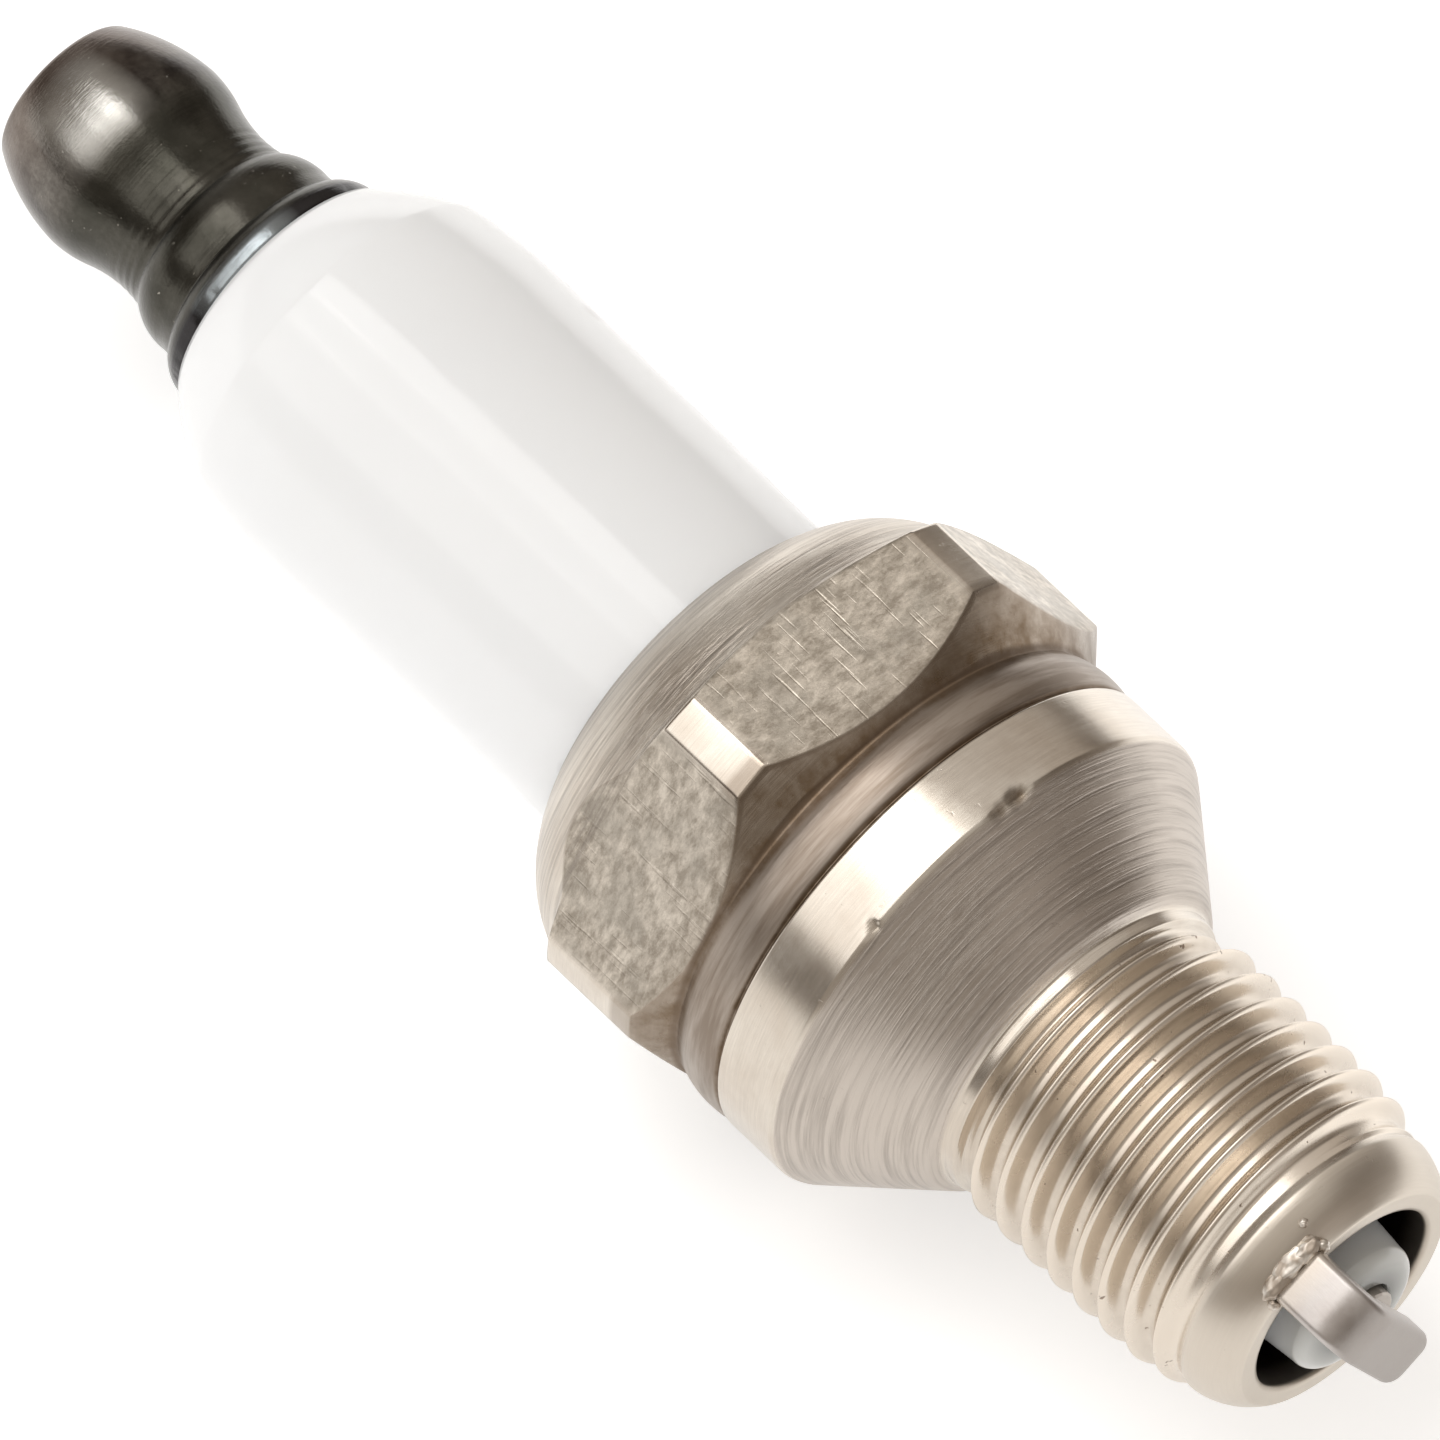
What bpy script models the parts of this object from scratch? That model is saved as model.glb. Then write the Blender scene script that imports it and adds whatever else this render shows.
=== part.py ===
"""Spark plug with a taper seat, built as an assembly of separate solids.

The plug lies on its side as it would on a bench: its axis is parallel to X, the
electrode end points to +X, and one flat of the hexagon rests on Z = 0.
Lengths along the plug are stations, measured from the flat end of the terminal nut.
"""
import math

import bmesh
import bpy
from mathutils import Vector

MM = 0.001

# ---------------------------------------------------------------- driving dimensions
OVERALL_LENGTH = 53.35 * MM        # terminal end to the outer face of the ground electrode

THREAD_RADIUS = 5.0 * MM           # M10 x 1.0
THREAD_PITCH = 1.0 * MM
THREAD_HEIGHT = 0.61 * MM
THREAD_START = 40.75 * MM          # station where the first turn rises out of the relief
THREAD_TURNS = 8.25
THREAD_END_TURNS = 2.0             # turns over which the crest sinks towards the nose
THREAD_END_HEIGHT = 0.2 * MM

HEX_ACROSS_FLATS = 16.0 * MM
HEX_CORNER_RADIUS = 8.93 * MM      # corners are turned down to this radius
COLLAR_RADIUS = 7.86 * MM

TERMINAL_RADIUS = 3.18 * MM        # quarter-inch push-on terminal
TERMINAL_LENGTH = 8.79 * MM
STUD_THREAD_RADIUS = 1.98 * MM     # M4 x 0.7
STUD_THREAD_PITCH = 0.7 * MM
STUD_THREAD_HEIGHT = 0.40 * MM
NUT_BORE_RADIUS = 2.06 * MM

INSULATOR_RADIUS = 5.57 * MM
INSULATOR_BORE_RADIUS = 1.95 * MM
INSULATOR_TIP = 51.45 * MM

SHELL_END = 50.80 * MM             # end face round the electrodes
SHELL_END_BORE = 3.10 * MM
SHELL_CAVITY_RADIUS = 6.62 * MM

CENTRE_ELECTRODE_RADIUS = 1.0 * MM
SPARK_GAP = 0.65 * MM
STRAP_WIDTH = 1.78 * MM
STRAP_THICKNESS = 1.0 * MM
STRAP_OUTER_RADIUS = 4.10 * MM     # distance of the strap's outer face from the axis
STRAP_PAST_AXIS = 0.62 * MM        # how far the strap's tip reaches beyond the axis
STRAP_ANGLE = math.radians(30.0)   # strap direction, turned from +Z towards -Y
STRAP_BEND_RADIUS = 1.25 * MM      # outside radius of the bend

FIT_GAP = 0.05 * MM                # clearance left between neighbouring solids
AXIS_HEIGHT = HEX_ACROSS_FLATS / 2
SHELL_STEPS = 48
BODY_STEPS = 36
CORE_STEPS = 20
SMOOTH_ANGLE = math.radians(32.0)

TIP_STATION = OVERALL_LENGTH - STRAP_THICKNESS - SPARK_GAP


# ---------------------------------------------------------------- scene and materials
def clear_scene():
    for obj in list(bpy.data.objects):
        bpy.data.objects.remove(obj, do_unlink=True)


def new_collection(name):
    collection = bpy.data.collections.new(name)
    bpy.context.scene.collection.children.link(collection)
    return collection


clear_scene()
PARTS = new_collection("spark_plug")
CUTTERS = new_collection("cutters")


def give_material(obj, name, colour, roughness, metallic):
    material = bpy.data.materials.new(name)
    material.use_nodes = True
    shader = material.node_tree.nodes["Principled BSDF"]
    shader.inputs["Base Color"].default_value = (*colour, 1.0)
    shader.inputs["Roughness"].default_value = roughness
    shader.inputs["Metallic"].default_value = metallic
    material.diffuse_color = (*colour, 1.0)
    obj.data.materials.append(material)


# ---------------------------------------------------------------- shape helpers
def arc(start, middle, end, count):
    """Points on the circle through three (station, radius) points, both ends included."""
    ax, ay = start
    bx, by = middle
    cx, cy = end
    double_area = 2 * (ax * (by - cy) + bx * (cy - ay) + cx * (ay - by))
    a_sq = ax * ax + ay * ay
    b_sq = bx * bx + by * by
    c_sq = cx * cx + cy * cy
    ux = (a_sq * (by - cy) + b_sq * (cy - ay) + c_sq * (ay - by)) / double_area
    uy = (a_sq * (cx - bx) + b_sq * (ax - cx) + c_sq * (bx - ax)) / double_area
    radius = math.hypot(ax - ux, ay - uy)
    first = math.atan2(ay - uy, ax - ux)
    sweep = math.remainder(math.atan2(cy - uy, cx - ux) - first, 2 * math.pi)
    angles = [first + sweep * i / (count - 1) for i in range(count)]
    return [(ux + radius * math.cos(a), uy + radius * math.sin(a)) for a in angles]


def millimetres(points):
    return [(station * MM, radius * MM) for station, radius in points]


def add_object(name, mesh, collection):
    obj = bpy.data.objects.new(name, mesh)
    collection.objects.link(obj)
    return obj


def shade(obj):
    bpy.context.view_layer.objects.active = obj
    obj.data.shade_smooth()
    obj.data.set_sharp_from_angle(angle=SMOOTH_ANGLE)


def on_plug_axis(obj):
    """Lay an object turned about its own Z so that this axis becomes the plug's."""
    obj.rotation_euler = (0.0, math.pi / 2, 0.0)
    obj.location = (-OVERALL_LENGTH / 2, 0.0, AXIS_HEIGHT)


def turned(name, outer, inner, steps, collection=PARTS):
    """Turn a section about the plug axis.

    outer and inner are (station, radius) points in metres from the terminal side to the
    electrode side. Without an inner side the outer one starts and ends on the axis.
    """
    outline = list(reversed(outer)) + list(inner)
    mesh = bpy.data.meshes.new(name)
    bm = bmesh.new()
    verts = [bm.verts.new((radius, 0.0, station)) for station, radius in outline]
    for first, second in zip(verts, verts[1:]):
        bm.edges.new((first, second))
    if inner:
        bm.edges.new((verts[-1], verts[0]))
    bm.to_mesh(mesh)
    bm.free()
    obj = add_object(name, mesh, collection)
    screw = obj.modifiers.new("turn", "SCREW")
    screw.axis = "Z"
    screw.angle = 2 * math.pi
    screw.steps = steps
    screw.render_steps = steps
    screw.use_merge_vertices = True
    screw.merge_threshold = 0.002 * MM
    screw.use_smooth_shade = True
    on_plug_axis(obj)
    return obj


def boolean(obj, operation, cutter):
    cutter.hide_render = True
    cutter.display_type = "WIRE"
    modifier = obj.modifiers.new(operation.lower(), "BOOLEAN")
    modifier.operation = operation
    modifier.solver = "EXACT"
    modifier.object = cutter


def helical_ridge(name, root_radius, pitch, start, turns, steps, height_at):
    """A right-handed thread ridge: a trapezium swept round the axis, sunk in its core.

    height_at(turn) gives the ridge height over the root after that many turns.
    """
    sunk = 0.12 * MM
    crest_half = 0.07 * pitch
    mesh = bpy.data.meshes.new(name)
    bm = bmesh.new()
    rings = []
    count = round(turns * steps)
    for i in range(count + 1):
        turn = i / steps
        angle = 2 * math.pi * (turn + 0.5 / steps)
        height = height_at(turn)
        foot_half = crest_half + (height + sunk) * math.tan(math.radians(30.0))
        station = start + pitch * turn
        corners = [
            (root_radius - sunk, station - foot_half),
            (root_radius + height, station - crest_half),
            (root_radius + height, station + crest_half),
            (root_radius - sunk, station + foot_half),
        ]
        direction = Vector((math.cos(angle), math.sin(angle), 0.0))
        rings.append([bm.verts.new(direction * radius + Vector((0, 0, z))) for radius, z in corners])
    for near, far in zip(rings, rings[1:]):
        for k in range(4):
            following = (k + 1) % 4
            bm.faces.new((near[k], far[k], far[following], near[following]))
    bm.faces.new(rings[0])
    bm.faces.new(list(reversed(rings[-1])))
    bmesh.ops.recalc_face_normals(bm, faces=bm.faces)
    bm.to_mesh(mesh)
    bm.free()
    obj = add_object(name, mesh, CUTTERS)
    on_plug_axis(obj)
    return obj


# ---------------------------------------------------------------- terminal
def build_terminal_nut():
    """Push-on terminal: domed head, waisted neck, band and flange, bored for the stud."""
    head = arc((0.10, 2.41), (1.3, 2.93), (2.75, TERMINAL_RADIUS / MM), 7)
    shoulder = arc((2.75, TERMINAL_RADIUS / MM), (3.35, 3.12), (3.85, 2.99), 4)
    neck = arc((3.85, 2.99), (5.0, 2.77), (6.06, 2.86), 7)
    band = arc((6.14, 2.93), (6.5, 3.13), (7.3, 3.22), 4)
    flange = arc((7.90, 3.44), (8.15, 3.66), (8.5, 3.77), 4)
    outer = [(0.0, 2.3)] + head + shoulder[1:] + neck[1:] + band
    outer += [(7.82, 3.25)] + flange + [(TERMINAL_LENGTH / MM, 3.77)]
    bore = NUT_BORE_RADIUS / MM
    inner = [(2.05, 0.0), (2.6, bore), (8.49, bore), (TERMINAL_LENGTH / MM, bore + 0.3)]
    outer = millimetres([(0.0, 0.0)] + outer)
    # The blind bore is the tail of one open outline that starts and ends on the axis.
    outline = outer + list(reversed(millimetres(inner)))
    obj = turned("terminal_nut", outline, [], BODY_STEPS)
    shade(obj)
    give_material(obj, "blackened_steel", (0.045, 0.038, 0.035), 0.38, 0.85)


def build_terminal_stud():
    """Steel rod down the insulator; its M4 end carries the nut, its shoulder sits on top."""
    root = (STUD_THREAD_RADIUS - STUD_THREAD_HEIGHT) / MM
    outline = [
        (2.90, 0.0), (2.90, root - 0.35), (3.15, root), (8.45, root), (8.89, root),
        (8.89, 2.78), (9.52, 2.78), (9.52, 1.88), (24.0, 1.88), (24.2, 1.72),
        (27.4, 1.72), (27.6, 1.50), (27.6, 0.0),
    ]
    obj = turned("terminal_stud", millimetres(outline), [], CORE_STEPS)
    turns = 6.5
    fade = 0.5

    def height_at(turn):
        rise = min(1.0, turn / fade, (turns - turn) / fade)
        return STUD_THREAD_HEIGHT * max(rise, 0.08)

    ridge = helical_ridge("stud_thread", root * MM, STUD_THREAD_PITCH, 3.5 * MM, turns,
                          CORE_STEPS, height_at)
    boolean(obj, "UNION", ridge)
    shade(obj)
    give_material(obj, "stud_steel", (0.42, 0.40, 0.38), 0.35, 1.0)


# ---------------------------------------------------------------- insulator
def build_insulator():
    """Glazed ceramic body: rounded top, slight draft, wide waist in the shell, slim nose."""
    top = arc((8.84, 3.93), (10.0, 4.74), (11.2, 5.34), 6)
    shoulder = arc((11.2, 5.34), (12.5, 5.50), (14.5, INSULATOR_RADIUS / MM), 5)
    tip = INSULATOR_TIP / MM
    outer = top + shoulder[1:] + [
        (25.4, 5.43), (30.04, 5.41), (30.35, 6.50), (34.6, 6.50), (37.2, 3.55),
        (43.3, 3.55), (43.3, 2.95), (43.9, 2.80),
    ]
    outer += [(tip - 0.75, 2.12)] + arc((tip - 0.45, 2.09), (tip - 0.12, 1.98), (tip, 1.70), 4)
    bore = INSULATOR_BORE_RADIUS / MM
    inner = [(8.84, 2.84), (9.58, 2.84), (9.58, bore), (40.4, bore), (41.29, 1.06), (tip, 1.06)]
    obj = turned("insulator", millimetres(outer), millimetres(inner), BODY_STEPS)
    shade(obj)
    give_material(obj, "glazed_ceramic", (0.86, 0.87, 0.88), 0.12, 0.0)


# ---------------------------------------------------------------- shell
def shell_outline():
    """Outside of the shell before the hexagon is cut and the thread is added."""
    hex_radius = HEX_CORNER_RADIUS / MM
    collar = COLLAR_RADIUS / MM
    root = (THREAD_RADIUS - THREAD_HEIGHT) / MM
    crimp = arc((25.50, 5.60), (26.30, 6.85), (27.95, 7.88), 8)
    bulge = arc((32.86, 7.70), (33.6, 7.87), (34.38, 7.80), 4)
    end = SHELL_END / MM
    nose = arc((49.35, 4.50), (50.15, 4.25), (end - 0.06, 3.78), 5)
    outline = crimp + [
        (28.35, 8.06), (28.75, hex_radius), (31.5, hex_radius), (32.76, 7.68),
    ]
    outline += bulge + [(34.47, 7.72), (34.58, collar - 0.04), (34.64, collar)]
    outline += [(36.64, collar), (36.76, collar - 0.07), (40.08, 5.22), (40.32, 4.86)]
    outline += [(40.62, 4.56), (40.95, root), (48.85, root), (49.0, 4.50)]
    outline += nose + [(end, 3.72)]
    return outline


def build_shell():
    """Steel shell: crimp, hexagon, collar, conical seat and M10 thread, hollow inside."""
    cavity = SHELL_CAVITY_RADIUS / MM
    end_bore = SHELL_END_BORE / MM
    inner = [
        (25.50, 5.50), (26.25, 5.55), (27.30, cavity), (34.72, cavity), (37.30, 3.68),
        (43.72, 3.68), (43.72, end_bore), (50.62, end_bore), (SHELL_END / MM, end_bore + 0.12),
    ]
    obj = turned("shell", millimetres(shell_outline()), millimetres(inner), SHELL_STEPS)

    bpy.ops.mesh.primitive_cylinder_add(
        vertices=6,
        radius=HEX_ACROSS_FLATS / 2 / math.cos(math.pi / 6),
        depth=2 * OVERALL_LENGTH,
    )
    hexagon = bpy.context.object
    hexagon.name = "hexagon"
    # A corner of the prism starts on its own Y axis, which puts a flat underneath.
    hexagon.rotation_euler = (0.0, math.pi / 2, 0.0)
    hexagon.location = (0.0, 0.0, AXIS_HEIGHT)
    for collection in list(hexagon.users_collection):
        collection.objects.unlink(hexagon)
    CUTTERS.objects.link(hexagon)
    boolean(obj, "INTERSECT", hexagon)

    def height_at(turn):
        rise = max(0.1, min(1.0, turn / 0.6))
        left = max(0.0, THREAD_TURNS - turn)
        sink = min(1.0, left / THREAD_END_TURNS)
        return rise * (THREAD_END_HEIGHT + (THREAD_HEIGHT - THREAD_END_HEIGHT) * math.sqrt(sink))

    ridge = helical_ridge("shell_thread", THREAD_RADIUS - THREAD_HEIGHT, THREAD_PITCH,
                          THREAD_START, THREAD_TURNS, SHELL_STEPS, height_at)
    boolean(obj, "UNION", ridge)
    shade(obj)
    give_material(obj, "nickel_plated_steel", (0.52, 0.47, 0.41), 0.30, 1.0)


# ---------------------------------------------------------------- packings and washer
def build_wire_ring(name, station):
    """Round wire ring that fills the space between the insulator and the shell."""
    inside = 5.41 * MM + FIT_GAP
    outside = SHELL_CAVITY_RADIUS - FIT_GAP
    bpy.ops.mesh.primitive_torus_add(
        major_radius=(inside + outside) / 2,
        minor_radius=(outside - inside) / 2,
        major_segments=BODY_STEPS,
        minor_segments=8,
    )
    obj = bpy.context.object
    obj.name = name
    obj.data.name = name
    for collection in list(obj.users_collection):
        collection.objects.unlink(obj)
    PARTS.objects.link(obj)
    on_plug_axis(obj)
    obj.location.x += station
    shade(obj)
    give_material(obj, name + "_steel", (0.40, 0.38, 0.36), 0.45, 1.0)


def build_talc_packing():
    inside = 5.41 * MM + FIT_GAP
    outside = SHELL_CAVITY_RADIUS - FIT_GAP
    low, high = 28.24 * MM, 28.84 * MM
    obj = turned("talc_packing", [(low, outside), (high, outside)],
                 [(low, inside), (high, inside)], BODY_STEPS)
    shade(obj)
    give_material(obj, "pressed_talc", (0.72, 0.70, 0.64), 0.95, 0.0)


def build_inner_seal_washer():
    low, high = 43.36 * MM, 43.66 * MM
    inside, outside = 3.14 * MM, 3.62 * MM
    obj = turned("inner_seal_washer", [(low, outside), (high, outside)],
                 [(low, inside), (high, inside)], BODY_STEPS)
    shade(obj)
    give_material(obj, "soft_washer_steel", (0.45, 0.43, 0.40), 0.5, 1.0)


# ---------------------------------------------------------------- core of the insulator
def build_plug_of(name, low, high, material, colour, roughness, metallic):
    """Solid cylinder that fills a stretch of the insulator's bore."""
    radius = INSULATOR_BORE_RADIUS - FIT_GAP
    outline = [(low * MM, 0.0), (low * MM, radius), (high * MM, radius), (high * MM, 0.0)]
    obj = turned(name, outline, [], CORE_STEPS)
    shade(obj)
    give_material(obj, material, colour, roughness, metallic)


def build_centre_electrode():
    """Nickel sheath with a head on the bore's shoulder, blind-bored for its copper core."""
    radius = CENTRE_ELECTRODE_RADIUS / MM
    tip = TIP_STATION / MM
    outline = [
        (39.70, 0.62), (39.70, 1.60), (40.30, 1.80), (40.44, 1.80), (41.24, radius),
        (tip - 0.06, radius), (tip, radius - 0.06), (tip, 0.0),
    ]
    bore = [(39.70, 0.62), (50.0, 0.62), (50.4, 0.0)]
    outline = list(reversed(bore)) + outline[1:]
    obj = turned("centre_electrode", millimetres(outline), [], CORE_STEPS)
    shade(obj)
    give_material(obj, "nickel_alloy", (0.48, 0.47, 0.45), 0.35, 1.0)


def build_electrode_core():
    outline = [(39.75, 0.0), (39.75, 0.57), (49.96, 0.57), (50.3, 0.0)]
    obj = turned("centre_electrode_core", millimetres(outline), [], CORE_STEPS)
    shade(obj)
    give_material(obj, "copper", (0.72, 0.36, 0.22), 0.30, 1.0)


# ---------------------------------------------------------------- ground electrode
def build_ground_electrode():
    """Flat strap that rises from the shell's end face and bends over the centre electrode.

    Its origin is on the bending axis at the root. Its own X runs along the plug, its Z
    away from the axis and its Y across the strap.
    """
    root_radius = STRAP_OUTER_RADIUS - STRAP_THICKNESS / 2
    root_station = SHELL_END + FIT_GAP
    out = OVERALL_LENGTH - root_station
    inner_bend = STRAP_BEND_RADIUS - STRAP_THICKNESS
    centre_x = out - STRAP_BEND_RADIUS
    centre_z = STRAP_THICKNESS / 2 - STRAP_BEND_RADIUS
    tip_z = -root_radius - STRAP_PAST_AXIS
    bend_steps = 8

    def bend(radius):
        angles = [math.pi / 2 * i / bend_steps for i in range(bend_steps + 1)]
        return [(centre_x + radius * math.sin(a), centre_z + radius * math.cos(a)) for a in angles]

    outline = [(0.0, STRAP_THICKNESS / 2)] + bend(STRAP_BEND_RADIUS) + [(out, tip_z)]
    outline += [(out - STRAP_THICKNESS, tip_z)] + list(reversed(bend(inner_bend)))
    outline += [(0.0, -STRAP_THICKNESS / 2)]

    mesh = bpy.data.meshes.new("ground_electrode")
    bm = bmesh.new()
    bm.faces.new([bm.verts.new((x, 0.0, z)) for x, z in outline])
    bm.to_mesh(mesh)
    bm.free()
    obj = add_object("ground_electrode", mesh, PARTS)
    obj.rotation_euler = (STRAP_ANGLE, 0.0, 0.0)
    obj.location = (
        root_station - OVERALL_LENGTH / 2,
        -root_radius * math.sin(STRAP_ANGLE),
        AXIS_HEIGHT + root_radius * math.cos(STRAP_ANGLE),
    )
    solidify = obj.modifiers.new("width", "SOLIDIFY")
    solidify.thickness = STRAP_WIDTH
    solidify.offset = 0.0
    rounding = obj.modifiers.new("edges", "BEVEL")
    rounding.width = 0.14 * MM
    rounding.segments = 2
    rounding.limit_method = "ANGLE"
    rounding.angle_limit = math.radians(40.0)
    shade(obj)
    give_material(obj, "strap_nickel", (0.62, 0.60, 0.57), 0.32, 1.0)


build_terminal_nut()
build_terminal_stud()
build_insulator()
build_shell()
build_wire_ring("upper_packing_ring", 27.64 * MM)
build_talc_packing()
build_wire_ring("lower_packing_ring", 29.44 * MM)
build_inner_seal_washer()
build_plug_of("upper_glass_seal", 27.65, 30.55, "copper_glass", (0.30, 0.16, 0.10), 0.5, 0.3)
build_plug_of("resistor", 30.60, 36.55, "carbon_resistor", (0.03, 0.03, 0.03), 0.8, 0.0)
build_plug_of("lower_glass_seal", 36.60, 39.65, "copper_glass_low", (0.30, 0.16, 0.10), 0.5, 0.3)
build_centre_electrode()
build_electrode_core()
build_ground_electrode()
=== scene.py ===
"""Looks of the spark plug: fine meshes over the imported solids, materials, light and camera.

Lengths along the plug are stations in millimetres from the flat end of the terminal.
Angles round the plug start at the top flat (+Z) and turn towards -Y.
"""
import math

import bmesh
import bpy
from mathutils import Matrix, Vector, noise


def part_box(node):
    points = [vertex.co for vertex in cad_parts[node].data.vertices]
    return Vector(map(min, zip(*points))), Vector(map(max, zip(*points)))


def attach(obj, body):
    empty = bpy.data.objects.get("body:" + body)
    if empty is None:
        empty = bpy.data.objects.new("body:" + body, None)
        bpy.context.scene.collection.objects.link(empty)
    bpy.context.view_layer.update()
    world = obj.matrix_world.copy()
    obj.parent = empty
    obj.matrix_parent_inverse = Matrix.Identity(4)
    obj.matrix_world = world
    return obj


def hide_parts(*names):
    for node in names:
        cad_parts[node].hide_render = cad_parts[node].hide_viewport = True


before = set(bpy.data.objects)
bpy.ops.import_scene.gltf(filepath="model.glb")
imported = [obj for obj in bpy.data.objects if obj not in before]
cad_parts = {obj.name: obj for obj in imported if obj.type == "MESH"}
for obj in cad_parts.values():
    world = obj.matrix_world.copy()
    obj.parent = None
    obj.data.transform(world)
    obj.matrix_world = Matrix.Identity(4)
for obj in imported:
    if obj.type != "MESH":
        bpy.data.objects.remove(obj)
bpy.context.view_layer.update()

# ------------------------ sizes from the frame
MM = 0.001
X_AXIS = Vector((1.0, 0.0, 0.0))

nut_low, nut_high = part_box("terminal_nut")
shell_low, shell_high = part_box("shell")
insulator_low, insulator_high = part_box("insulator")
strap_low, strap_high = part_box("ground_electrode")

START_X = nut_low.x
AXIS_Z = (shell_low.z + shell_high.z) / 2


def station_of(x):
    return (x - START_X) / MM


LENGTH = station_of(strap_high.x)
NUT_END = station_of(nut_high.x)
NUT_FLANGE = (nut_high.z - nut_low.z) / 2 / MM
SHELL_START = station_of(shell_low.x)
SHELL_END = station_of(shell_high.x)
HEX_HALF = (shell_high.z - shell_low.z) / 2 / MM
HEX_CORNER = (shell_high.y - shell_low.y) / 2 / MM
HEX_FLAT = HEX_HALF - 0.07  # the used hexagon is a little under size
HEX_ROUND = HEX_CORNER - 0.08
INSULATOR_START = station_of(insulator_low.x)
INSULATOR_TIP = station_of(insulator_high.x)

DOME_END = (28.35, 8.06)  # outer edge of the rolled-over dome
CHAMFER_END = (32.76, 7.68)  # where the turned chamfer under the hexagon ends
COLLAR = 7.86
EDGE = 0.03  # half the width of a softened edge
HEX_TURN = math.radians(2.2)  # the forged hexagon sits slightly turned and off-centre
HEX_SHIFT = 0.30  # this far (mm)
HEX_SHIFT_ANGLE = math.radians(-65.0)

THREAD_TOP = 41.0  # the rings that follow the thread lie between these stations
THREAD_BOTTOM = 49.0
THREAD_PITCH = 1.0
THREAD_ROOT = 4.39
THREAD_CREST = 5.0
THREAD_PHASE = 41.0  # a crest passes here at a quarter turn towards +Y
THREAD_FIRST = 40.75  # where the ridge begins to rise
THREAD_RISE = 0.8  # over this many turns
THREAD_TURNS = 8.25
THREAD_END_TURNS = 2.0  # over its last turns the ridge sinks
THREAD_END_HEIGHT = 0.2  # to this height (mm), and over the last half turn to nothing
CREST_SHARPNESS = 1.9  # above 1 the crest is narrower than the root
ROWS_PER_TURN = 16
FOLLOW_TURNS = 0.9  # the rings follow the thread over this share of a turn
FOLLOW_START = 0.38  # which begins this share of a turn before the top flat
THREAD_BLEND = 1.6  # the rings take up the thread's slope over this length at each end

HIGHLIGHT_SIDE_ANGLE = math.radians(25.0)  # painted highlights on the terminal sit on this side
TURNING_START = 4.9  # the terminal's turning rings start here
TURNING_SPACING = 0.29
TURNING_DEPTH = 0.006

STRAP_ANGLE = math.radians(30.0)
STRAP_WIDTH = 1.78
STRAP_THICKNESS = 1.0
STRAP_OUTER = 4.10  # from the axis to the strap's outer face
STRAP_TIP = -0.62  # the tip stands this far past the axis
STRAP_BEND = 1.25  # outer radius of the bend
STRAP_CORNER = 0.22
TIP_ROUNDING = 0.75  # the tip's rounding starts this far before its end
TIP_NARROWING = 0.92
TIP_THINNING = 0.22


# ------------------------ shape helpers
def place(station, radius, angle):
    """A point in the frame from its station, radius (mm) and angle round the plug."""
    return Vector((
        START_X + station * MM,
        -math.sin(angle) * radius * MM,
        AXIS_Z + math.cos(angle) * radius * MM,
    ))


def outward_at(angle):
    """The direction away from the axis at an angle round the plug."""
    return Vector((0.0, -math.sin(angle), math.cos(angle)))


def sideways_at(angle):
    """The direction square to the axis and to outward_at."""
    return Vector((0.0, math.cos(angle), math.sin(angle)))


def mix(a, b, share):
    return a + (b - a) * share


def smoothstep(low, high, value):
    share = min(1.0, max(0.0, (value - low) / (high - low)))
    return share * share * (3 - 2 * share)


def arc(start, middle, end, count):
    """Points on the circle through three (station, radius) points, both ends included."""
    ax, ay = start
    bx, by = middle
    cx, cy = end
    double_area = 2 * (ax * (by - cy) + bx * (cy - ay) + cx * (ay - by))
    a_sq = ax * ax + ay * ay
    b_sq = bx * bx + by * by
    c_sq = cx * cx + cy * cy
    ux = (a_sq * (by - cy) + b_sq * (cy - ay) + c_sq * (ay - by)) / double_area
    uy = (a_sq * (cx - bx) + b_sq * (ax - cx) + c_sq * (bx - ax)) / double_area
    radius = math.hypot(ax - ux, ay - uy)
    first = math.atan2(ay - uy, ax - ux)
    sweep = math.remainder(math.atan2(cy - uy, cx - ux) - first, 2 * math.pi)
    angles = [first + sweep * i / (count - 1) for i in range(count)]
    return [(ux + radius * math.cos(a), uy + radius * math.sin(a)) for a in angles]


def rounded_corner(before, corner, after, rounding):
    """Points that take an outline round one corner in a small curve."""
    reach_in = math.dist(before, corner)
    reach_out = math.dist(corner, after)
    turn_in = math.atan2(corner[1] - before[1], corner[0] - before[0])
    turn_out = math.atan2(after[1] - corner[1], after[0] - corner[0])
    turning = abs(math.remainder(turn_out - turn_in, 2 * math.pi))
    cut = min(rounding, 0.4 * reach_in, 0.4 * reach_out)
    if turning < math.radians(12) or cut < 0.005:
        return [corner]
    first = Vector(corner).lerp(Vector(before), cut / reach_in)
    last = Vector(corner).lerp(Vector(after), cut / reach_out)
    middle = Vector(corner)
    steps = 4
    curve = []
    for k in range(steps + 1):
        t = k / steps
        point = first * (1 - t) ** 2 + middle * 2 * t * (1 - t) + last * t ** 2
        curve.append((point.x, point.y))
    return curve


def refined(points, rounding=0.06, spacing=0.25):
    """An outline with rounded corners and no step longer than spacing."""
    rounded = [points[0]]
    for before, corner, after in zip(points, points[1:], points[2:]):
        rounded += rounded_corner(before, corner, after, rounding)
    rounded.append(points[-1])
    fine = [rounded[0]]
    for near, far in zip(rounded, rounded[1:]):
        pieces = max(1, math.ceil(math.dist(near, far) / spacing))
        for k in range(1, pieces + 1):
            fine.append((mix(near[0], far[0], k / pieces), mix(near[1], far[1], k / pieces)))
    return fine


def even_angles(count):
    return [2 * math.pi * k / count for k in range(count)]


def bridge(bm, near_ring, far_ring):
    """Faces between two rings that have the same number of points."""
    for k in range(len(near_ring)):
        following = (k + 1) % len(near_ring)
        bm.faces.new((near_ring[k], near_ring[following], far_ring[following], far_ring[k]))


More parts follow.
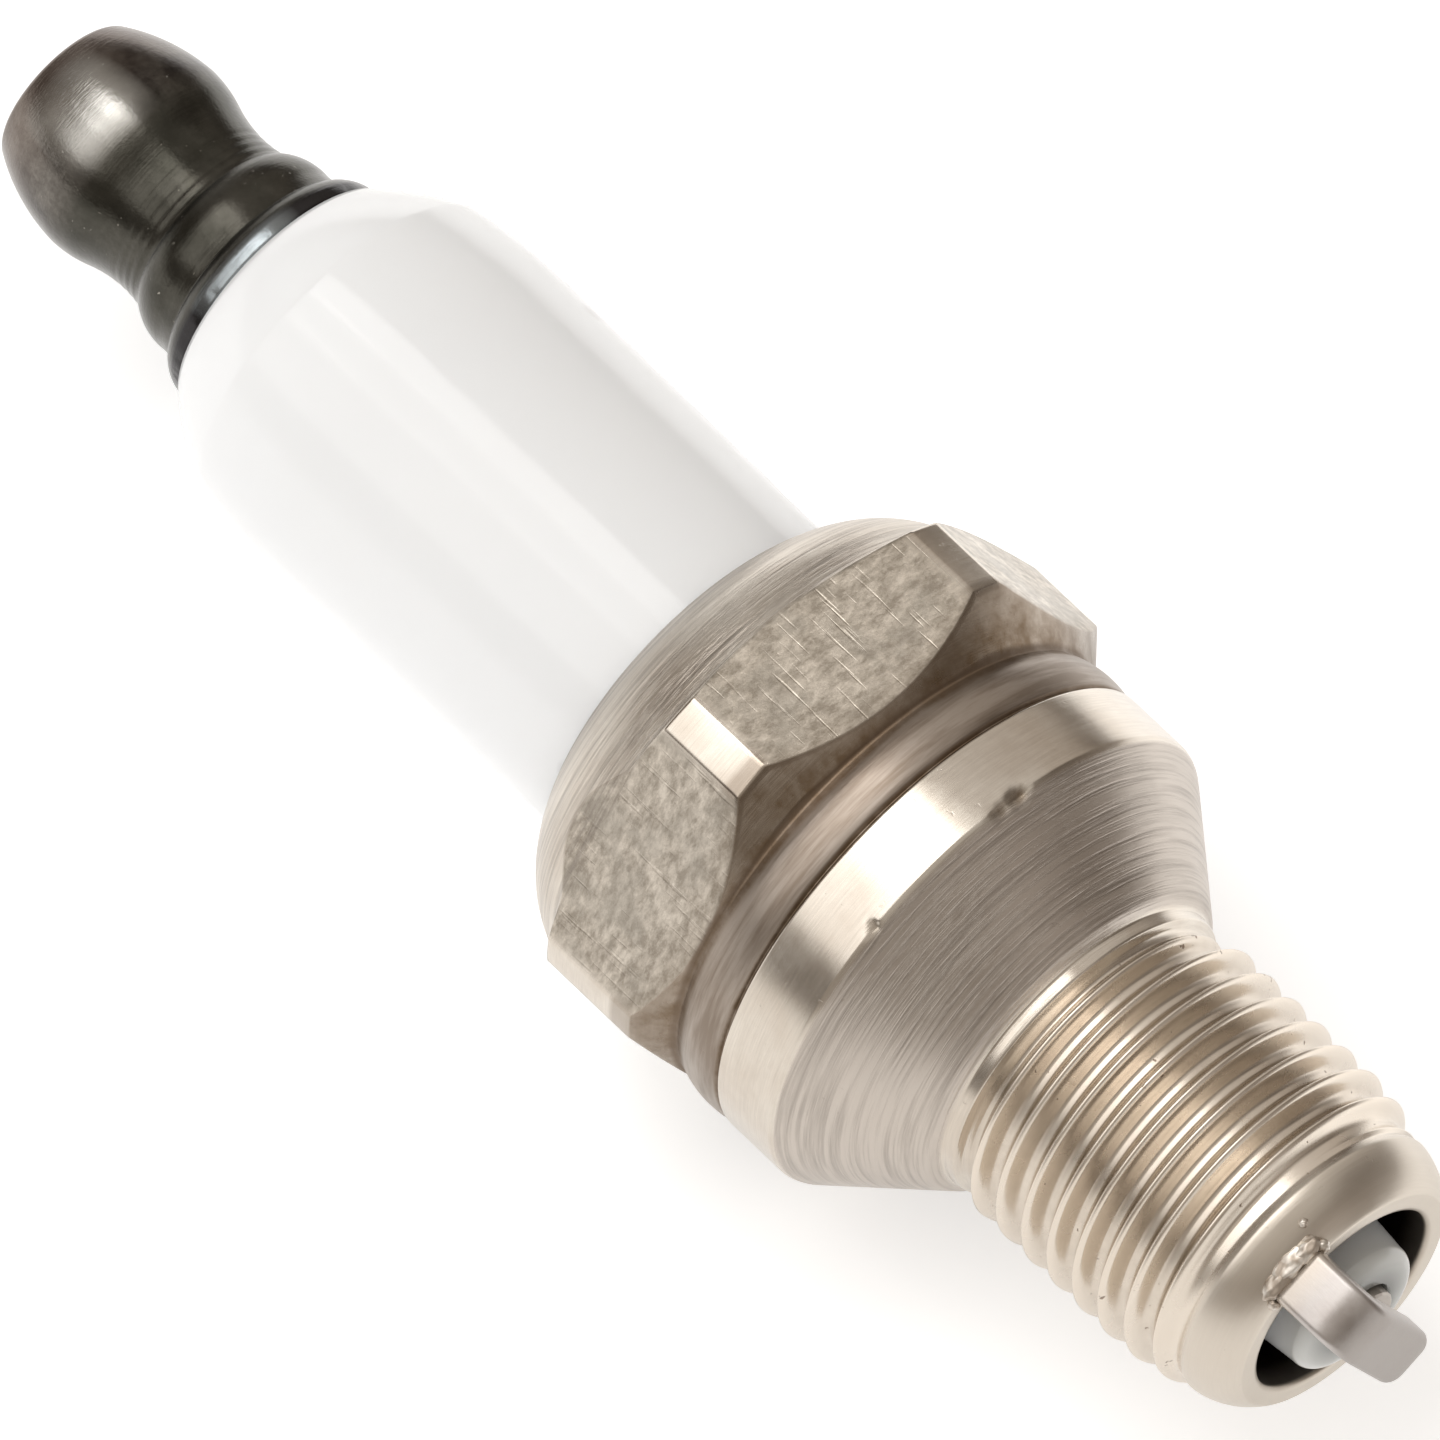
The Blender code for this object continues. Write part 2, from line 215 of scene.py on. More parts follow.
def new_piece(name, bm):
    mesh = bpy.data.meshes.new(name)
    bmesh.ops.recalc_face_normals(bm, faces=bm.faces)
    bm.to_mesh(mesh)
    bm.free()
    for polygon in mesh.polygons:
        polygon.use_smooth = True
    obj = bpy.data.objects.new(name, mesh)
    bpy.context.scene.collection.objects.link(obj)
    return obj


def ring_piece(name, rows, angles, masks=()):
    """A closed surface of rings round the plug's axis.

    rows[i](angle) gives (station, radius, then one value for each mask). The last ring
    joins the first, and a ring of no radius closes to a point on the axis.
    """
    bm = bmesh.new()
    layers = [bm.verts.layers.float.new(mask) for mask in masks]
    rings = []
    for row in rows:
        ring = []
        for angle in angles:
            station, radius, *values = row(angle)
            vert = bm.verts.new(place(station, radius, angle))
            for layer, value in zip(layers, values):
                vert[layer] = value
            ring.append(vert)
        rings.append(ring)
    for near, far in zip(rings, rings[1:] + rings[:1]):
        bridge(bm, near, far)
    bmesh.ops.remove_doubles(bm, verts=bm.verts, dist=0.0002 * MM)
    return new_piece(name, bm)


def plain_row(station, radius, *values):
    return lambda angle: (station, radius, *values)


def turned_piece(name, outline, count):
    return ring_piece(name, [plain_row(s, r) for s, r in outline], even_angles(count))


# ------------------------ shader helpers
def add_node(tree, kind, inputs=None, **settings):
    """A new node whose inputs are given as values or as other nodes' output sockets."""
    node = tree.nodes.new(kind)
    for key, value in settings.items():
        setattr(node, key, value)
    for key, value in (inputs or {}).items():
        if isinstance(value, bpy.types.NodeSocket):
            tree.links.new(value, node.inputs[key])
        else:
            node.inputs[key].default_value = value
    return node


def calculate(tree, operation, first, second=0.0, third=0.0):
    inputs = {0: first, 1: second, 2: third}
    return add_node(tree, "ShaderNodeMath", inputs, operation=operation).outputs[0]


def product(tree, first, second):
    return calculate(tree, "MULTIPLY", first, second)


def remap(tree, value, low, high, to_low=0.0, to_high=1.0):
    inputs = {"Value": value, "From Min": low, "From Max": high, "To Min": to_low, "To Max": to_high}
    return add_node(tree, "ShaderNodeMapRange", inputs).outputs[0]


def blend_colour(tree, share, first, second):
    """The first colour where share is 0, the second where it is 1."""
    node = add_node(tree, "ShaderNodeMix", data_type="RGBA")
    # A colour mix takes its share at input 0 and its two colours at inputs 6 and 7.
    for index, value in ((0, share), (6, first), (7, second)):
        if isinstance(value, bpy.types.NodeSocket):
            tree.links.new(value, node.inputs[index])
        elif index:
            node.inputs[index].default_value = (*value, 1.0)
        else:
            node.inputs[index].default_value = value
    return node.outputs[2]


def tint(tree, colour, where, strength, tone):
    """A colour moved towards a tone, by a value from 0 to 1 times a strength."""
    return blend_colour(tree, product(tree, where, strength), colour, tone)


def add_scaled(tree, value, extra, amount):
    """A value plus an amount times another one."""
    return calculate(tree, "ADD", value, product(tree, extra, amount))


def millimetres(tree, stretch=(1.0, 1.0, 1.0)):
    """Object coordinates in millimetres from the axis, multiplied by stretch."""
    coordinates = add_node(tree, "ShaderNodeTexCoord").outputs["Object"]
    inputs = {
        "Vector": coordinates,
        "Scale": [s / MM for s in stretch],
        "Location": (-START_X / MM * stretch[0], 0.0, -AXIS_Z / MM * stretch[2]),
    }
    return add_node(tree, "ShaderNodeMapping", inputs).outputs[0]


def station_socket(tree):
    """Station along the plug as a value in the material."""
    return add_node(tree, "ShaderNodeSeparateXYZ", {0: millimetres(tree)}).outputs[0]


def vector_node(tree, operation, *vectors):
    """A vector calculation: output 0 is its vector and output 1 its number."""
    return add_node(tree, "ShaderNodeVectorMath", dict(enumerate(vectors)), operation=operation)


def across_axis(tree):
    """The way from the plug's axis to a point, square to the axis, in millimetres."""
    return vector_node(tree, "MULTIPLY", millimetres(tree), (0.0, 1.0, 1.0)).outputs[0]


def axis_distance(tree):
    """Distance from the plug's axis in millimetres as a value in the material."""
    return vector_node(tree, "LENGTH", across_axis(tree)).outputs[1]


def lobe(tree, direction, towards, inner, outer):
    """1 for directions within inner degrees of towards, falling to 0 at outer degrees."""
    closeness = vector_node(tree, "DOT_PRODUCT", direction, towards.normalized()).outputs[1]
    return remap(tree, closeness, math.cos(math.radians(outer)), math.cos(math.radians(inner)))


def facing_side(tree, angle, inner, outer):
    """1 on the side of the plug within inner degrees of an angle, 0 beyond outer degrees."""
    outward = vector_node(tree, "NORMALIZE", across_axis(tree)).outputs[0]
    return lobe(tree, outward, outward_at(angle), inner, outer)


def band_between(tree, value, low, high, fade):
    """1 between two values, falling to 0 over the fade outside them."""
    rising = remap(tree, value, low - fade, low)
    falling = remap(tree, value, high + fade, high)
    return calculate(tree, "MINIMUM", rising, falling)


def grain(tree, size, detail=3.0, roughness=0.55, stretch=(1.0, 1.0, 1.0)):
    """Noise from 0 to 1 with features about size millimetres across."""
    inputs = {
        "Vector": millimetres(tree, stretch),
        "Scale": 1.0 / size,
        "Detail": detail,
        "Roughness": roughness,
    }
    return add_node(tree, "ShaderNodeTexNoise", inputs).outputs[0]


def turning_lines(tree, size, detail=4.0):
    """Fine rings left by a lathe, broken up slowly round the plug."""
    return grain(tree, size, detail, 0.7, stretch=(1.0, 0.035, 0.035))


def pits(tree, size, share):
    """1 in a few scattered round spots about size millimetres across, 0 elsewhere."""
    inputs = {"Vector": millimetres(tree), "Scale": 1.0 / size, "Randomness": 1.0}
    cells = add_node(tree, "ShaderNodeTexVoronoi", inputs)
    spot = remap(tree, cells.outputs["Distance"], 0.30, 0.12)
    chosen = add_node(tree, "ShaderNodeSeparateColor", {0: cells.outputs["Color"]}).outputs[0]
    few = calculate(tree, "LESS_THAN", chosen, share)
    return product(tree, spot, few)


def specks(tree, size, rarity):
    """1 in a few ragged spots of about size millimetres, fewer as rarity nears 1."""
    ragged = grain(tree, size, 3.0, 0.6)
    region = grain(tree, size * 9, 2.0)
    chance = calculate(tree, "MULTIPLY_ADD", region, 0.25, calculate(tree, "SUBTRACT", ragged, 0.125))
    return remap(tree, chance, rarity, rarity + 0.03)


def attribute(tree, name):
    return add_node(tree, "ShaderNodeAttribute", attribute_name=name).outputs["Fac"]


def raise_surface(tree, height, depth, normal=None):
    """A bump whose height of 1 stands depth millimetres proud."""
    inputs = {"Height": height, "Distance": depth * MM, "Strength": 1.0}
    if normal is not None:
        inputs["Normal"] = normal
    return add_node(tree, "ShaderNodeBump", inputs).outputs[0]


def round_tangent(tree):
    """The direction round the plug's axis, for the stretched gloss of turned metal."""
    place_now = add_node(tree, "ShaderNodeTexCoord").outputs["Object"]
    from_axis = vector_node(tree, "SUBTRACT", place_now, (0.0, 0.0, AXIS_Z)).outputs[0]
    return vector_node(tree, "CROSS_PRODUCT", (1.0, 0.0, 0.0), from_axis).outputs[0]


def new_material(name):
    """A node material and its tree and main shader."""
    material = bpy.data.materials.new(name)
    material.use_nodes = True
    tree = material.node_tree
    return material, tree, tree.nodes["Principled BSDF"]


def connect(tree, shader, **inputs):
    """Feed the main shader's inputs; underscores in names stand for spaces."""
    for name, value in inputs.items():
        socket = shader.inputs[name.replace("_", " ")]
        if isinstance(value, bpy.types.NodeSocket):
            tree.links.new(value, socket)
        elif isinstance(value, tuple) and socket.type == "VECTOR":
            socket.default_value = value
        elif socket.type == "RGBA":
            socket.default_value = (*value, 1.0)
        else:
            socket.default_value = value


# ------------------------ materials
# Stretches of the shell with a finish of their own: first and last station, and the fade
# beyond them.
SHELL_ZONES = {
    "dome": (25.4, 28.4, 0.2),
    "chamfer": (31.2, 32.75, 0.2),
    "bulge": (32.7, 34.45, 0.1),
    "cone": (36.8, 40.2, 0.08),
    "thread": (41.1, 49.0, 0.3),
    "nose": (49.3, 52.0, 0.3),
}

# Tones of the shell's plating and of what lies on it.
PLATING_DARK = (0.56, 0.50, 0.43)
PLATING_LIGHT = (0.66, 0.61, 0.54)
# Matt plating, darkened further as painted shade.
PLATING_DULL_AND_SHADED = (0.50, 0.45, 0.405)
PLATING_NOSE = (0.60, 0.545, 0.475)
PLATING_THREAD = (0.72, 0.645, 0.555)
FORGED_DARK = (0.33, 0.29, 0.24)
FORGED_LIGHT = (0.66, 0.60, 0.52)
FORGED_PATCH = (0.35, 0.32, 0.275)
RING_SHADOW = (0.36, 0.31, 0.26)
TOOL_MARK = (0.23, 0.20, 0.175)
SMEAR = (0.20, 0.16, 0.125)
# Brown stain that also serves as painted shade in creases and recesses.
BROWN_STAIN_AND_SHADE = (0.155, 0.105, 0.06)
CHAMFER_SHADE = (0.13, 0.085, 0.05)
BULGE_SHADE = (0.17, 0.125, 0.09)
RUST = (0.10, 0.045, 0.015)
# Painted shade inside the bore.
BORE_SHADE = (0.010, 0.006, 0.004)


def shell_masks(tree):
    """Values from 0 to 1 that say which part of the shell a point is on."""
    station = station_socket(tree)
    on = {name: band_between(tree, station, *zone) for name, zone in SHELL_ZONES.items()}
    for name in ("flat", "recess", "inside"):
        on[name] = attribute(tree, name)
    on["turned"] = calculate(tree, "SUBTRACT", 1.0, on["flat"])
    on["dull"] = calculate(tree, "MAXIMUM", on["cone"], on["bulge"])
    return on


def shell_patterns(tree, on):
    """Textures of the shell, each from 0 to 1."""
    tool_marks = remap(tree, grain(tree, 0.10, 4.0, 0.6, stretch=(1.0, 0.022, 0.022)), 0.44, 0.66)
    tooled = calculate(tree, "MAXIMUM", on["cone"], on["dome"])
    smears = remap(tree, grain(tree, 0.7, 4.0, 0.65, stretch=(2.0, 0.16, 0.16)), 0.40, 0.62)
    uneven = remap(tree, grain(tree, 0.8, 5.0, 0.65), 0.3, 0.7, 0.45, 1.25)
    stain_and_shade = product(tree, on["recess"], uneven)
    few = calculate(tree, "MULTIPLY_ADD", on["thread"], 0.75, 0.12)
    return {
        "clouds": grain(tree, 2.2, 5.0, 0.6),
        "mottle": grain(tree, 0.30, 6.0, 0.72, stretch=(1.0, 0.5, 0.5)),
        "patches": grain(tree, 1.6, 4.0, 0.6),
        "rings": turning_lines(tree, 0.05),
        "coarse_rings": turning_lines(tree, 0.22, 3.0),
        "marked": product(tree, tool_marks, tooled),
        "smeared": product(tree, smears, on["bulge"]),
        "stain_and_shade": calculate(tree, "MINIMUM", stain_and_shade, 0.95),
        "spots": product(tree, specks(tree, 0.30, 0.71), few),
    }


def forged_colour(tree, pattern):
    """The mottled grey and tan of the hexagon's flats."""
    mottle = remap(tree, pattern["mottle"], 0.38, 0.64)
    forged = blend_colour(tree, mottle, FORGED_DARK, FORGED_LIGHT)
    patches = remap(tree, pattern["patches"], 0.48, 0.62, 0.0, 0.45)
    return blend_colour(tree, patches, forged, FORGED_PATCH)


def shell_colour(tree, on, pattern):
    """Plating in its matt and bright stretches, with painted shade on the matt ones, then marks, brown
    stain with painted shade, rust, and painted shade on the chamfer, the bulge and in the bore.
    """
    clouds = remap(tree, pattern["clouds"], 0.35, 0.65)
    metal = blend_colour(tree, clouds, PLATING_DARK, PLATING_LIGHT)
    rings = remap(tree, pattern["rings"], 0.35, 0.75, 0.0, 0.35)
    metal = blend_colour(tree, rings, metal, RING_SHADOW)
    metal = blend_colour(tree, on["flat"], metal, forged_colour(tree, pattern))
    # The cone and bulge are matt and also darkened as painted shade.
    metal = tint(tree, metal, on["dull"], 0.75, PLATING_DULL_AND_SHADED)
    metal = tint(tree, metal, on["nose"], 0.7, PLATING_NOSE)
    metal = tint(tree, metal, on["thread"], 0.7, PLATING_THREAD)
    metal = tint(tree, metal, pattern["marked"], 0.5, TOOL_MARK)
    metal = tint(tree, metal, pattern["smeared"], 0.75, SMEAR)
    # Brown stain with painted shade, where the recess mask is set.
    metal = blend_colour(tree, pattern["stain_and_shade"], metal, BROWN_STAIN_AND_SHADE)
    metal = tint(tree, metal, pattern["spots"], 0.8, RUST)
    turned_chamfer = product(tree, on["chamfer"], on["turned"])
    metal = tint(tree, metal, turned_chamfer, 0.45, CHAMFER_SHADE)
    metal = tint(tree, metal, on["bulge"], 0.5, BULGE_SHADE)
    # The bore is painted in shade.
    return blend_colour(tree, on["inside"], metal, BORE_SHADE)


def shell_roughness(tree, on, pattern):
    """Glossy plating, duller on the flats, in stains, on worn stretches and in the bore."""
    roughness = remap(tree, pattern["clouds"], 0.3, 0.7, 0.15, 0.24)
    roughness = add_scaled(tree, roughness, on["flat"], 0.16)
    roughness = add_scaled(tree, roughness, pattern["stain_and_shade"], 0.12)
    roughness = add_scaled(tree, roughness, on["inside"], 0.35)
    matt = calculate(tree, "MAXIMUM", calculate(tree, "MAXIMUM", on["dull"], on["dome"]), on["nose"])
    matt = calculate(tree, "MAXIMUM", matt, product(tree, on["thread"], 0.5))
    return add_scaled(tree, roughness, matt, 0.13)


def shell_normal(tree, on, pattern):
    """Lathe rings, the grain and scratches of the flats, rust pits and tool marks."""
    rings = add_scaled(tree, pattern["rings"], pattern["coarse_rings"], 1.5)
    rings = product(tree, rings, on["turned"])
    less_on_thread = calculate(tree, "MULTIPLY_ADD", on["thread"], -0.85, 1.0)
    rings = product(tree, rings, less_on_thread)
    normal = raise_surface(tree, rings, 0.0028)
    forged = product(tree, pattern["mottle"], on["flat"])
    normal = raise_surface(tree, forged, 0.018, normal)
    scratches = remap(tree, grain(tree, 0.16, 2.0, 0.5, stretch=(0.06, 1.0, 1.0)), 0.62, 0.72)
    scratches = product(tree, scratches, on["flat"])
    normal = raise_surface(tree, scratches, -0.008, normal)
    normal = raise_surface(tree, pattern["spots"], -0.015, normal)
    return raise_surface(tree, pattern["marked"], -0.008, normal)


def shell_material():
    """Nickel-plated steel: turned rings, forged flats, brown stain and painted shade in the recesses."""
    material, tree, shader = new_material("nickel_plated_steel")
    on = shell_masks(tree)
    pattern = shell_patterns(tree, on)
    connect(
        tree, shader, Metallic=1.0,
        Base_Color=shell_colour(tree, on, pattern),
        Roughness=shell_roughness(tree, on, pattern),
        Normal=shell_normal(tree, on, pattern),
        Anisotropic=product(tree, on["turned"], 0.6),
        Tangent=round_tangent(tree),
    )
    return material


# Tones of the terminal.
BLACKING = (0.028, 0.023, 0.020)
BLACKING_WORN = (0.190, 0.175, 0.155)
BLACKING_GRAIN = (0.05, 0.04, 0.035)
HEAD_BROWN = (0.19, 0.145, 0.12)
NECK_BLACK = (0.040, 0.040, 0.031)
BARE_SPECK = (0.32, 0.30, 0.26)
# Painted highlight for one side of the head.
PAINTED_HEAD_HIGHLIGHT = (0.46, 0.45, 0.42)
RIM_BLACK = (0.035, 0.033, 0.034)
# Painted highlight for one side of the rim.
PAINTED_RIM_HIGHLIGHT = (0.30, 0.33, 0.345)


def terminal_colour(tree, clouds, fine, spots):
    """Brown head, black neck and rim, and painted highlights on one side of the head and rim."""
    station = station_socket(tree)
    highlight_side = facing_side(tree, HIGHLIGHT_SIDE_ANGLE, 12, 32)
    colour = blend_colour(tree, remap(tree, clouds, 0.36, 0.64), BLACKING, BLACKING_WORN)
    colour = blend_colour(tree, remap(tree, fine, 0.35, 0.75, 0.0, 0.5), colour, BLACKING_GRAIN)
    head = remap(tree, station, 2.3, 0.6, 0.0, 0.45)
    colour = blend_colour(tree, head, colour, HEAD_BROWN)
    neck = remap(tree, station, 2.6, 3.6, 0.0, 0.72)
    colour = blend_colour(tree, neck, colour, NECK_BLACK)
    colour = blend_colour(tree, spots, colour, BARE_SPECK)
    # Painted highlight on one side of the head.
    head_highlight = product(tree, band_between(tree, station, 1.3, 2.6, 0.9), highlight_side)
    colour = tint(tree, colour, head_highlight, 0.8, PAINTED_HEAD_HIGHLIGHT)
    rim = remap(tree, station, NUT_END - 0.62, NUT_END - 0.40)
    colour = blend_colour(tree, rim, colour, RIM_BLACK)
    # Painted highlight on one side of the rim.
    rim_highlight = product(tree, rim, highlight_side)
    return tint(tree, colour, rim_highlight, 0.9, PAINTED_RIM_HIGHLIGHT)


def terminal_material():
    """Blackened steel, mottled brown to black, with a semi-gloss and tiny pits."""
    material, tree, shader = new_material("blackened_steel")
    clouds = grain(tree, 1.9, 6.0, 0.62)
    fine = grain(tree, 0.14, 4.0, 0.6)
    rings = turning_lines(tree, 0.07)
    spots = specks(tree, 0.16, 0.72)
    normal = raise_surface(tree, add_scaled(tree, fine, rings, 1.3), 0.006)
    normal = raise_surface(tree, spots, -0.01, normal)
    connect(
        tree, shader, Metallic=0.9, Normal=normal,
        Base_Color=terminal_colour(tree, clouds, fine, spots),
        Roughness=remap(tree, clouds, 0.3, 0.7, 0.17, 0.26),
    )
    return material


def ceramic_material():
    """Clear-glazed alumina: white, slightly wavy, with a few specks, grey at the firing end and painted
    shade round the bore.
    """
    material, tree, shader = new_material("glazed_alumina")
    tone = grain(tree, 6.0, 3.0)
    dust = pits(tree, 1.6, 0.05)
    colour = blend_colour(tree, tone, (0.86, 0.885, 0.91), (0.885, 0.91, 0.935))
    colour = tint(tree, colour, dust, 0.35, (0.45, 0.43, 0.42))
    station = station_socket(tree)
    firing_end = remap(tree, station, INSULATOR_TIP - 1.6, INSULATOR_TIP - 0.3, 0.0, 0.62)
    colour = blend_colour(tree, firing_end, colour, (0.36, 0.36, 0.32))
    # Painted shade round the bore at the firing end.
    near_bore = remap(tree, axis_distance(tree), 1.9, 1.15)
    bore_shade = product(tree, near_bore, firing_end)
    colour = blend_colour(tree, bore_shade, colour, (0.05, 0.055, 0.045))
    waves = grain(tree, 3.0, 2.0)
    orange_peel = grain(tree, 0.5, 2.0)
    normal = raise_surface(tree, waves, 0.03)
    normal = raise_surface(tree, orange_peel, 0.0012, normal)
    connect(
        tree, shader, Base_Color=colour, Roughness=remap(tree, tone, 0.3, 0.7, 0.10, 0.16),
        Normal=normal, Specular_IOR_Level=0.38,
        Subsurface_Weight=0.35, Subsurface_Radius=(1.0, 1.0, 1.0), Subsurface_Scale=2.0 * MM,
    )
    return material


def strap_material():
    """Satin nickel alloy with fine lines along the strap, a darker end and a warmer root."""
    material, tree, shader = new_material("nickel_alloy")
    clouds = grain(tree, 0.9, 5.0, 0.6)
    lines = grain(tree, 0.05, 3.0, 0.6, stretch=(0.08, 1.0, 1.0))
    colour = blend_colour(tree, remap(tree, clouds, 0.35, 0.65), (0.44, 0.405, 0.385), (0.54, 0.51, 0.49))
    station = station_socket(tree)
    face = remap(tree, station, LENGTH - 0.8, LENGTH - 0.2, 0.0, 0.6)
    colour = blend_colour(tree, face, colour, (0.27, 0.245, 0.225))
    root = remap(tree, station, SHELL_END + 0.9, SHELL_END)
    colour = tint(tree, colour, root, 0.5, (0.62, 0.53, 0.42))
    spots = specks(tree, 0.12, 0.74)
    colour = blend_colour(tree, spots, colour, (0.30, 0.25, 0.2))
    normal = raise_surface(tree, lines, 0.003)
    normal = raise_surface(tree, clouds, 0.01, normal)
    connect(
        tree, shader, Base_Color=colour, Metallic=1.0, Normal=normal,
        Roughness=remap(tree, clouds, 0.3, 0.7, 0.34, 0.46),
    )
    return material


def weld_material():
    """Bright fused metal with brown heat stains in its folds."""
    material, tree, shader = new_material("weld_metal")
    blobs = grain(tree, 0.5, 2.0, 0.5)
    colour = blend_colour(tree, remap(tree, blobs, 0.42, 0.58), (0.42, 0.36, 0.30), (0.80, 0.76, 0.70))
    normal = raise_surface(tree, blobs, 0.008)
    connect(tree, shader, Base_Color=colour, Metallic=1.0, Normal=normal,
            Roughness=remap(tree, blobs, 0.3, 0.7, 0.50, 0.34))
    return material


def plain_metal_material(name, low, high, roughness):
    """Turned metal between two tones, for the parts inside."""
    material, tree, shader = new_material(name)
    clouds = grain(tree, 0.8, 5.0, 0.6)
    rings = turning_lines(tree, 0.06)
    colour = blend_colour(tree, remap(tree, clouds, 0.3, 0.7), low, high)
    normal = raise_surface(tree, rings, 0.004)
    connect(tree, shader, Base_Color=colour, Metallic=1.0, Normal=normal,
            Roughness=remap(tree, clouds, 0.3, 0.7, roughness - 0.06, roughness + 0.08))
    return material


def powder_material(name, low, high, size, roughness):
    """Pressed powder or fired glass: matt, with grains of about size millimetres."""
    material, tree, shader = new_material(name)
    grains = grain(tree, size, 6.0, 0.7)
    colour = blend_colour(tree, remap(tree, grains, 0.35, 0.65), low, high)
    normal = raise_surface(tree, grains, 0.02)
    connect(tree, shader, Base_Color=colour, Normal=normal,
            Roughness=remap(tree, grains, 0.3, 0.7, roughness, roughness + 0.2))
    return material


# ------------------------ shell
def hexagon_shift(angle):
    """How far the off-centre hexagon stands outward at this angle."""
    return HEX_SHIFT * math.cos(angle - HEX_SHIFT_ANGLE)


def flat_middle(k):
    return k * math.pi / 3 + HEX_TURN


def flat_distance(k):
    return HEX_FLAT + hexagon_shift(flat_middle(k))


def hexagon_radius(angle):
    """Distance from the axis to the hexagon's side, with its corners rounded off."""
    radius = HEX_ROUND + hexagon_shift(angle)
    for k in range(6):
        facing = math.cos(angle - flat_middle(k))
        if facing > 0.5:
            radius = min(radius, flat_distance(k) / facing)
    return radius


def flat_reach(k, side):
    """Angle at which side k of the hexagon runs into a rounded corner; side is 1 or -1."""
    reach = 0.45  # a first guess in radians, which the steps below make exact
    for _ in range(6):
        corner = HEX_ROUND + hexagon_shift(flat_middle(k) + side * reach)
        reach = math.acos(flat_distance(k) / corner)
    return flat_middle(k) + side * reach


def hexagon_angles():
    """Angles round the plug, closer together where the hexagon's sides end."""
    angles = []
    for k in range(6):
        first = flat_reach(k, -1)
        last = flat_reach(k, 1)
        fine = [0.0, 0.007, 0.018, 0.035]
        wide = [mix(first + fine[-1], last - fine[-1], n / 30) for n in range(1, 30)]
        angles += [first + x for x in fine] + wide + [last - x for x in reversed(fine)]
        corner_end = flat_reach(k + 1, -1)
        angles += [mix(last, corner_end, x) for x in (0.08, 0.25, 0.5, 0.75, 0.92)]
    return angles


def station_at(radius, outline):
    """Station where a straight-sided outline, rising or falling in radius, has this radius."""
    for (s0, r0), (s1, r1) in zip(outline, outline[1:]):
        if min(r0, r1) <= radius <= max(r0, r1):
            return mix(s0, s1, (radius - r0) / (r1 - r0))
    return outline[-1][0]


# The dome and the cones above and below the hexagon, carried on past its corners.
DOME = arc((SHELL_START, 5.60), (26.30, 6.85), (27.95, 7.88), 26)
DOME_PLAIN = 27.0  # up to here the hexagon's sides don't touch the dome
DOME_SIDE = DOME + [DOME_END, (28.95, 9.37)]
CHAMFER_SIDE = [(31.0, 9.43), CHAMFER_END]


def radius_on(station, outline):
    """Radius of a straight-sided outline at this station."""
    for (s0, r0), (s1, r1) in zip(outline, outline[1:]):
        if s0 <= station <= s1:
            return mix(r0, r1, (station - s0) / (s1 - s0))
    return outline[-1][1]


def dome_edge_row(share, past_knee):
    """A ring between the dome's last round part and the hexagon's upper edge."""
    def row(angle):
        edge = station_at(hexagon_radius(angle), DOME_SIDE)
        knee = min(DOME_END[0], edge - 2 * EDGE)
        if past_knee:
            station = mix(knee, edge - EDGE, share)
        else:
            station = mix(DOME_PLAIN, knee, share)
        return station, radius_on(station, DOME_SIDE), 0.0, 0.25 * past_knee, 0.0
    return row


def flat_row(share):
    """A ring on the hexagon's six sides."""
    def row(angle):
        radius = hexagon_radius(angle)
        upper = station_at(radius, DOME_SIDE) + EDGE
        lower = station_at(radius, CHAMFER_SIDE) - EDGE
        corner = HEX_ROUND + hexagon_shift(angle)
        on_corner = smoothstep(corner - 0.12, corner - 0.01, radius)
        near_end = smoothstep(0.75, 1.0, share)
        return mix(upper, lower, share), radius, 1.0 - on_corner, 0.25 * near_end * (1 - on_corner), 0.0
    return row


def chamfer_row(share):
    """A ring on the turned chamfer below the hexagon."""
    def row(angle):
        upper = station_at(hexagon_radius(angle), CHAMFER_SIDE) + EDGE
        station = mix(upper, CHAMFER_END[0], share)
        # The chamfer gets strong brown stain with painted shade.
        return station, radius_on(station, CHAMFER_SIDE), 0.0, mix(0.55, 0.95, share), 0.0
    return row


# Shares of the way along each part of the hexagon at which it has rings.
DOME_SHARES = (0.0, 0.2, 0.4, 0.6, 0.8, 0.95, 1.0)
KNEE_SHARES = (0.2, 0.6, 1.0)
FLAT_SHARES = (0.0, 0.03, 0.1, 0.25, 0.4, 0.55, 0.7, 0.85, 0.95, 1.0)
CHAMFER_SHARES = (0.0, 0.12, 0.35, 0.6, 0.85, 1.0)

# Recesses that get brown stain and painted shade: station, half width and strength.
STAINS_AND_SHADE = [(25.6, 0.3, 0.5), (32.85, 0.35, 0.9), (34.48, 0.14, 0.95), (41.02, 0.16, 0.5)]

# Dents along the collar's edge: station, angle, half length along and round, and depth.
NICKS = [
    (36.66, math.radians(-4.5), 0.26, 0.48, 0.20),
    (36.70, math.radians(0.5), 0.20, 0.34, 0.15),
    (36.62, math.radians(35.0), 0.20, 0.24, 0.10),
    (37.9, math.radians(22.0), 0.10, 0.35, 0.04),
]


# Brown stain and painted shade in the creases at this station.
def stain_and_shade_at(station):
    total = 0.0
    for centre, half_width, strength in STAINS_AND_SHADE:
        total += strength * (1.0 - smoothstep(0.3, 1.0, abs(station - centre) / half_width))
    return total


